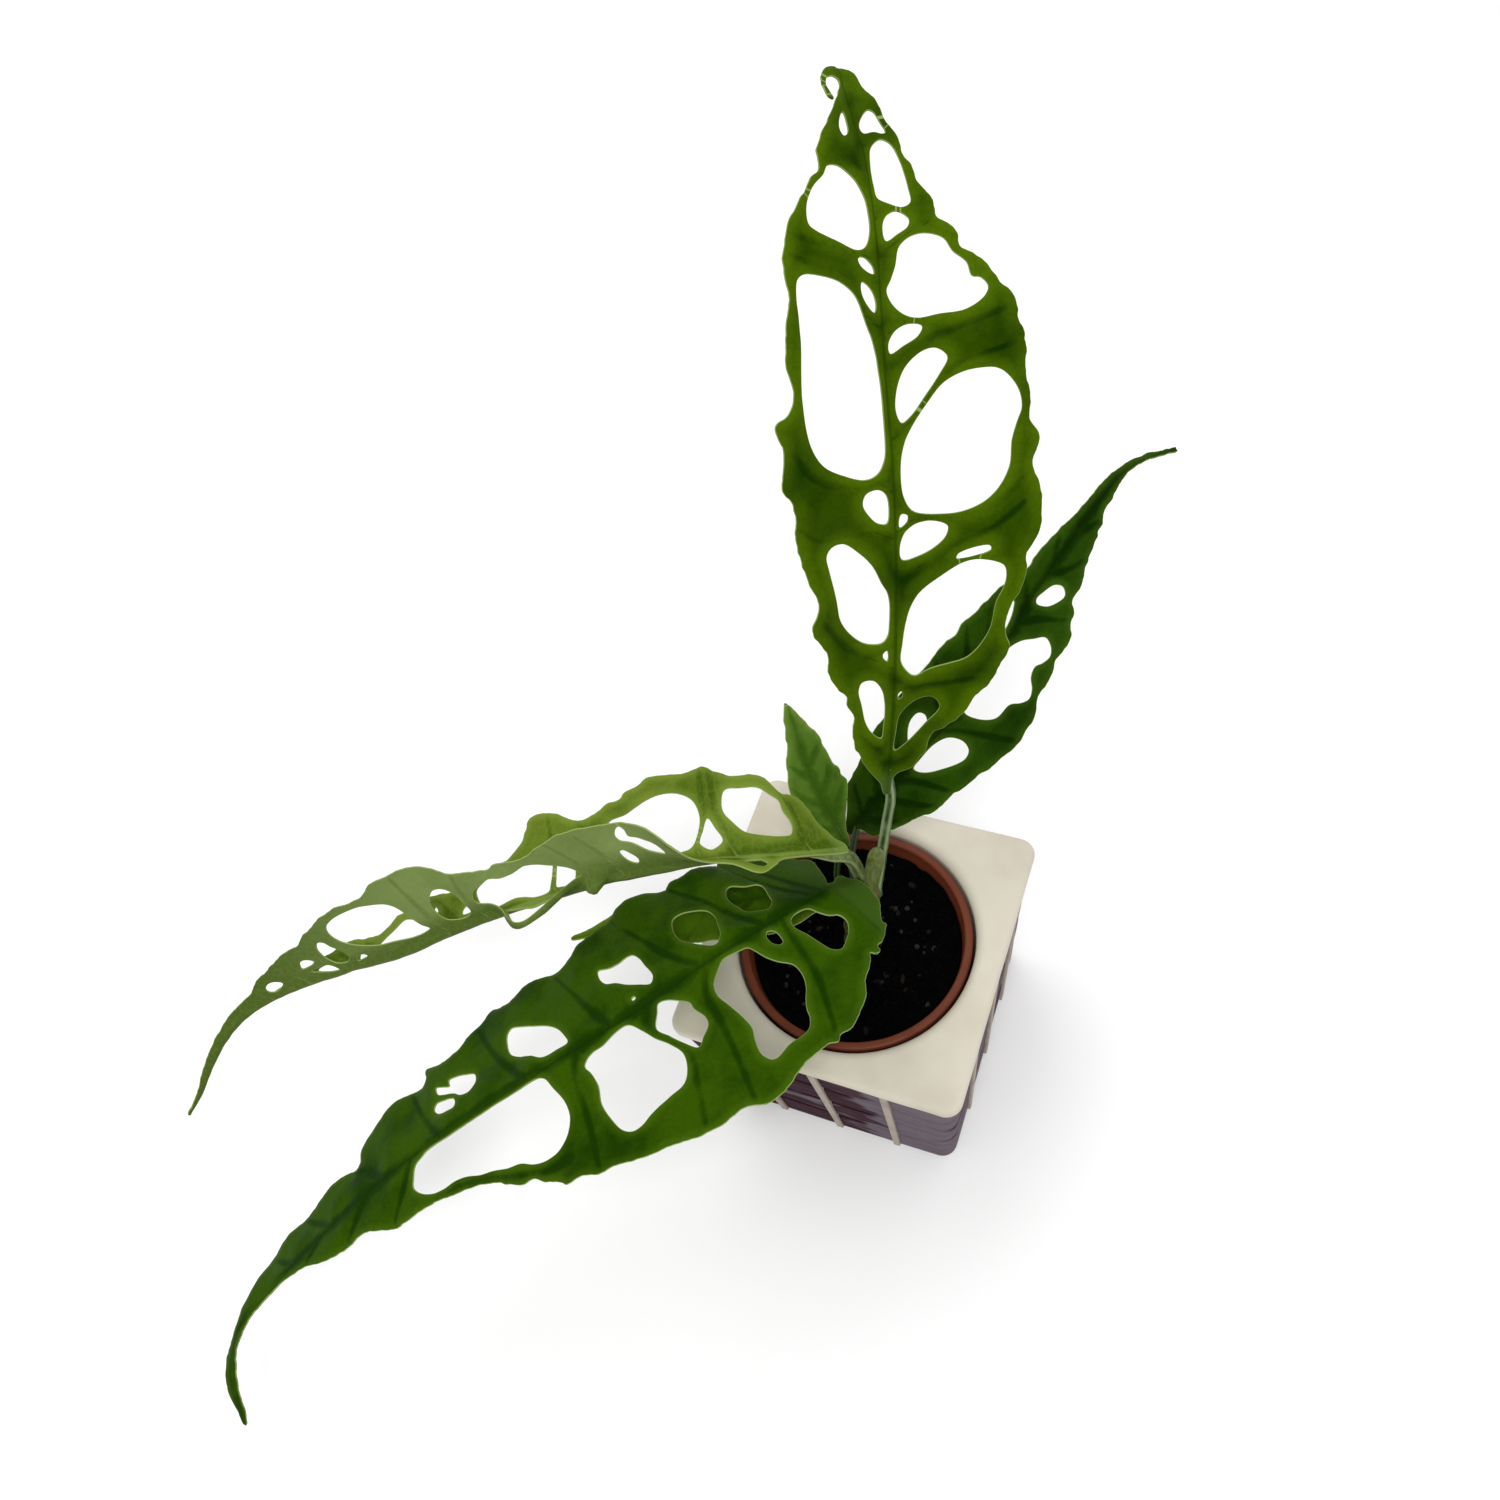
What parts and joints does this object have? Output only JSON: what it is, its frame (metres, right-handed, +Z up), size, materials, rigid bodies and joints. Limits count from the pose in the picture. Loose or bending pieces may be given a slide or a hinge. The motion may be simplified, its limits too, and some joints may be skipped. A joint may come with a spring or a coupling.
{
  "type": "potted monstera obliqua",
  "caption": "Young potted monstera obliqua: pointed leaves full of large holes on grooved stalks, in a round nursery pot inside a square tapered planter.",
  "frame": {"origin": "centre of the planter's base, on the surface it stands on", "axes": "+Z up; the planter's sides face +X, -X, +Y and -Y; the tall leaf stands towards +Y and the two long leaves hang over the corner between -X and -Y"},
  "size_m": [0.2526, 0.345, 0.2767],
  "materials": {
    "planter_cream": "satin cream, with stained board bands",
    "terracotta_plastic": "matte terracotta brown",
    "potting_soil": "loose near-black potting mix",
    "stem_skin": "living olive-green stem",
    "shoot_skin": "living pale olive sheath",
    "leaf_bright": "living leaf, yellow-green, satin",
    "leaf_dark": "living leaf, dark green, satin",
    "leaf_mid": "living leaf, mid green, satin",
    "leaf_pale": "living leaf, pale grey-green underside, satin",
    "leaf_rich": "living leaf, rich green, satin",
    "leaf_shaded": "living leaf, dark green, satin"
  },
  "bodies": {
    "root": {"planter": "planter_cream", "nursery_pot": "terracotta_plastic", "soil": "potting_soil", "stem": "stem_skin", "new_shoot": "shoot_skin", "leaf_upright": "leaf_bright", "leaf_right": "leaf_dark", "leaf_small": "leaf_mid", "leaf_left": "leaf_pale", "leaf_front": "leaf_rich", "leaf_under": "leaf_shaded"}
  },
  "joints": []
}
